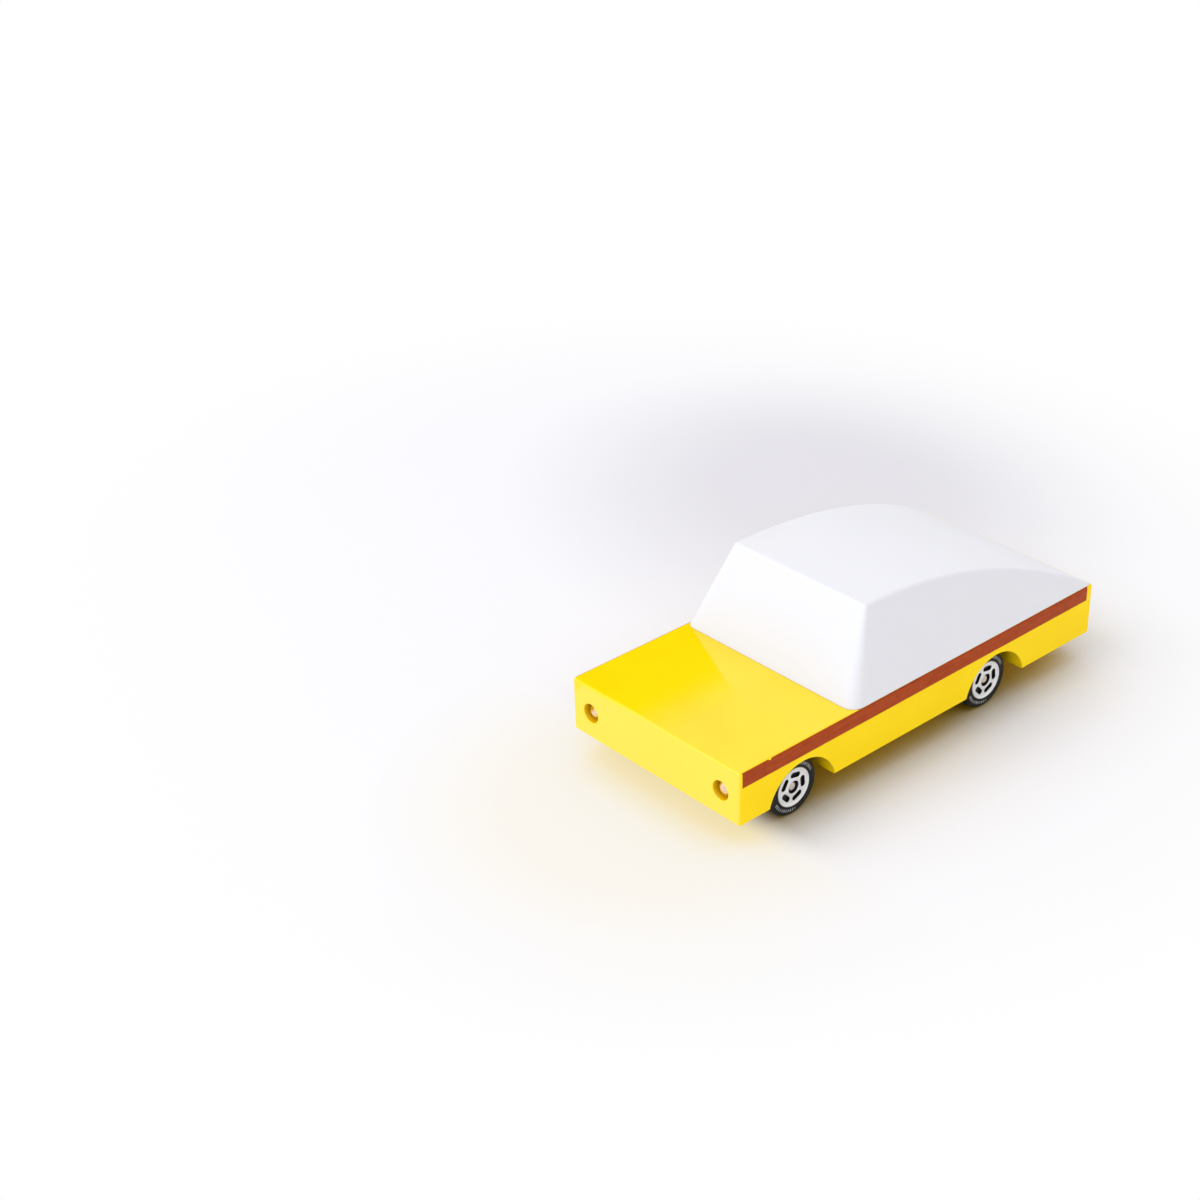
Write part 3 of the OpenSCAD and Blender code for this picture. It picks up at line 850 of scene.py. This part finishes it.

# Floor. A wide sheet of matt white paper with a barely visible tooth. Seen straight or in a gloss,
# it goes white far off and carries painted light: a painted shadow behind the car, a warm painted
# shade beside and under it on top of its real shadow, and a painted pool of bright cream light in
# front that glows. It lights the car as plain paper. Its places are in millimetres.
floor_half = 3000 * mm
white_middle = (0, -57)
white_from = 75
white_by = 155
shadow_middle = (-62, -62)
shadow_from = 15
shadow_by = 80
shade_reach = 14 * mm
beside_reach = 40 * mm
beside_dim = 0.09
pool_middle = (body_high.x / mm, 0)
pool_from = 32
pool_by = 40.5
pool_full = 20
pool_end = 65
pool_share = 0.85
paper_white = (0.93, 0.928, 0.94, 1)
paper_tooth = (0.915, 0.912, 0.925, 1)
open_paper = (0.79, 0.785, 0.815, 1)
shadow_paper = (0.655, 0.645, 0.685, 1)
warm_shade = (0.40, 0.27, 0.01, 1)
light_pool_cream = (0.98, 0.85, 0.52, 1)
light_pool_pale = (0.96, 0.92, 0.84, 1)
pure_white = (1, 1, 1, 1)
black = (0, 0, 0, 1)
nodes = finish("floor_paper")
floor_x, floor_y, _ = nodes.axes(nodes.spot())


def floor_from(middle):
    """Distance over the floor from one point of it."""
    return from_axis(floor_x - middle[0], floor_y - middle[1])


def background_ray(nodes):
    """1 for a ray that shows the background: straight, in a gloss or through glass."""
    rays = ("Is Camera Ray", "Is Glossy Ray", "Is Transmission Ray")
    straight, gloss, glass = [nodes.add("ShaderNodeLightPath", out=ray) for ray in rays]
    return nodes.math("MINIMUM", straight + gloss + glass, 1.0)


def sheet(points):
    """Mesh of one flat face."""
    bm = bmesh.new()
    bm.faces.new([bm.verts.new(point) for point in points])
    return bm


shown = background_ray(nodes)
paper = nodes.mix(nodes.spread(nodes.noise(0.8, 3)), paper_white, paper_tooth)
# Painted shade: beside and under the car the paper is painted darker and warmer, the more so the less
# open it is, on top of the car's real shadow
close_by = nodes.openness(shade_reach)
beside_shade = nodes.range(nodes.openness(beside_reach), 0.7, 0.86, beside_dim, 0.0)
# Painted shadow: behind the car the paper is painted a duller grey, a shadow that nothing in the scene
# casts
lit = nodes.mix(nodes.range(floor_from(shadow_middle), shadow_from, shadow_by), shadow_paper, open_paper)
shade = nodes.mix(nodes.range(close_by, 0.18, 0.76), warm_shade, nodes.mix(beside_shade, lit, black))
nodes.surface({
    "Base Color": nodes.mix(shown, paper, shade),
    "Roughness": 0.9,
    "Specular IOR Level": 0.1,
})
far = nodes.range(floor_from(white_middle), white_from, white_by)
# Painted light: in front of the car the paper glows a bright cream, warmer close to the car, a painted
# pool of light
pool_round = nodes.range(floor_from(pool_middle), pool_full, pool_end, 1.0, 0.0)
light_pool = pool_round * nodes.range(floor_x, pool_from, pool_by)
light_pool_tone = nodes.mix(nodes.range(close_by, 0.4, 0.85), light_pool_cream, light_pool_pale)
glow = nodes.add("ShaderNodeEmission", sockets={"Color": nodes.mix(light_pool, pure_white, light_pool_tone)})
# The paper glows white far off, as a plain backdrop, and in the painted pool of light in front
glowing = shown * nodes.math("MAXIMUM", far, light_pool * pool_share)
lit_paper = Value(nodes, nodes.tree.nodes["Principled BSDF"].outputs[0])
faded = nodes.add("ShaderNodeMixShader", sockets={0: glowing, 1: lit_paper, 2: glow})
nodes.plug(nodes.tree.nodes["Material Output"], {"Surface": faded})
floor_corners = [(-floor_half, -floor_half), (floor_half, -floor_half)]
floor_corners += [(floor_half, floor_half), (-floor_half, floor_half)]
floor = piece("floor", sheet([(x, y, 0) for x, y in floor_corners]), nodes.owner)

# Reflector card. A sheet of yellow card that stands to the right of the car and fades out at its
# back end and its top. It is seen only as its reflection, mostly in the bonnet, where it keeps
# the far half a deep yellow. Its fades are in millimetres.
card_front = 79 * mm
card_back = -33 * mm
card_y = -36.4 * mm
card_h = 53 * mm
card_fade_x = 20
card_fade_z = 12
card_yellow = (0.80, 0.56, 0.002, 1)
card_fibre = (0.76, 0.52, 0.002, 1)
nodes = finish("reflector_card")
x, _, z = nodes.axes(nodes.spot())
dense_x = nodes.range(x, card_back / mm, card_back / mm + card_fade_x)
dense_z = nodes.range(z, card_h / mm - card_fade_z, card_h / mm, 1.0, 0.0)
nodes.surface({
    "Base Color": nodes.mix(nodes.spread(nodes.noise(0.5, 3)), card_yellow, card_fibre),
    "Roughness": 0.8,
    "Specular IOR Level": 0.0,
    "Alpha": dense_x * dense_z,
})
card_corners = [(card_front, 0), (card_back, 0), (card_back, card_h), (card_front, card_h)]
card = piece("reflector_card", sheet([(x, card_y, z) for x, z in card_corners]), nodes.owner)
card.visible_camera = False
card.visible_diffuse = False
card.visible_shadow = False

# Studio light. A white tent, brightest overhead, and one large soft lamp in front and to the
# right, which makes the windscreen the brightest face and leaves a soft shadow along the
# car's left side. Seen directly or in a reflection, the tent is plain white.
tent_low = 0.91
tent_high = 0.99
lamp_level = 0.39
lamp_away = 1.2
lamp_size = 0.8
lamp_from = Vector((0.62, -0.26, 0.74)).normalized()
sky = Nodes(bpy.data.worlds.new("tent"))
shown = background_ray(sky)
upward = sky.axes(sky.add("ShaderNodeTexCoord", out="Generated"))[2]
level = shown + (1 - shown) * sky.range(upward, 0.0, 1.0, tent_low, tent_high)
sky.plug(sky.tree.nodes["Background"], {"Color": pure_white, "Strength": level})
bpy.context.scene.world = sky.owner
lamp_data = bpy.data.lights.new("soft_lamp", "AREA")
lamp_data.shape = "SQUARE"
lamp_data.size = lamp_size
lamp_data.energy = lamp_level * math.pi**2 * lamp_away**2
lamp = bpy.data.objects.new("soft_lamp", lamp_data)
lamp.location = lamp_from * lamp_away
lamp.rotation_mode = "QUATERNION"
lamp.rotation_quaternion = lamp_from.to_track_quat("Z", "Y")
bpy.context.scene.collection.objects.link(lamp)

# Camera. A short telephoto from the front left and above, rolled a little, as in the photograph.
# Its place, direction and lens were fitted to the straight edges of the body and the cabin.
camera_place = Vector((247.1, 224.5, 211.0)) * mm
camera_ahead = Vector((-0.56405, -0.66173, -0.49393))
camera_roll = math.radians(-1.69)
camera_data = bpy.data.cameras.new("camera")
camera_data.sensor_width = 36
camera_data.lens = 65.25
camera_data.clip_start = 0.01
camera = bpy.data.objects.new("camera", camera_data)
aim = camera_ahead.to_track_quat("-Z", "Y").to_matrix().to_4x4()
camera.matrix_world = Matrix.Translation(camera_place) @ aim @ Matrix.Rotation(camera_roll, 4, "Z")
bpy.context.scene.collection.objects.link(camera)
bpy.context.scene.camera = camera
bpy.context.scene.view_settings.view_transform = "Standard"
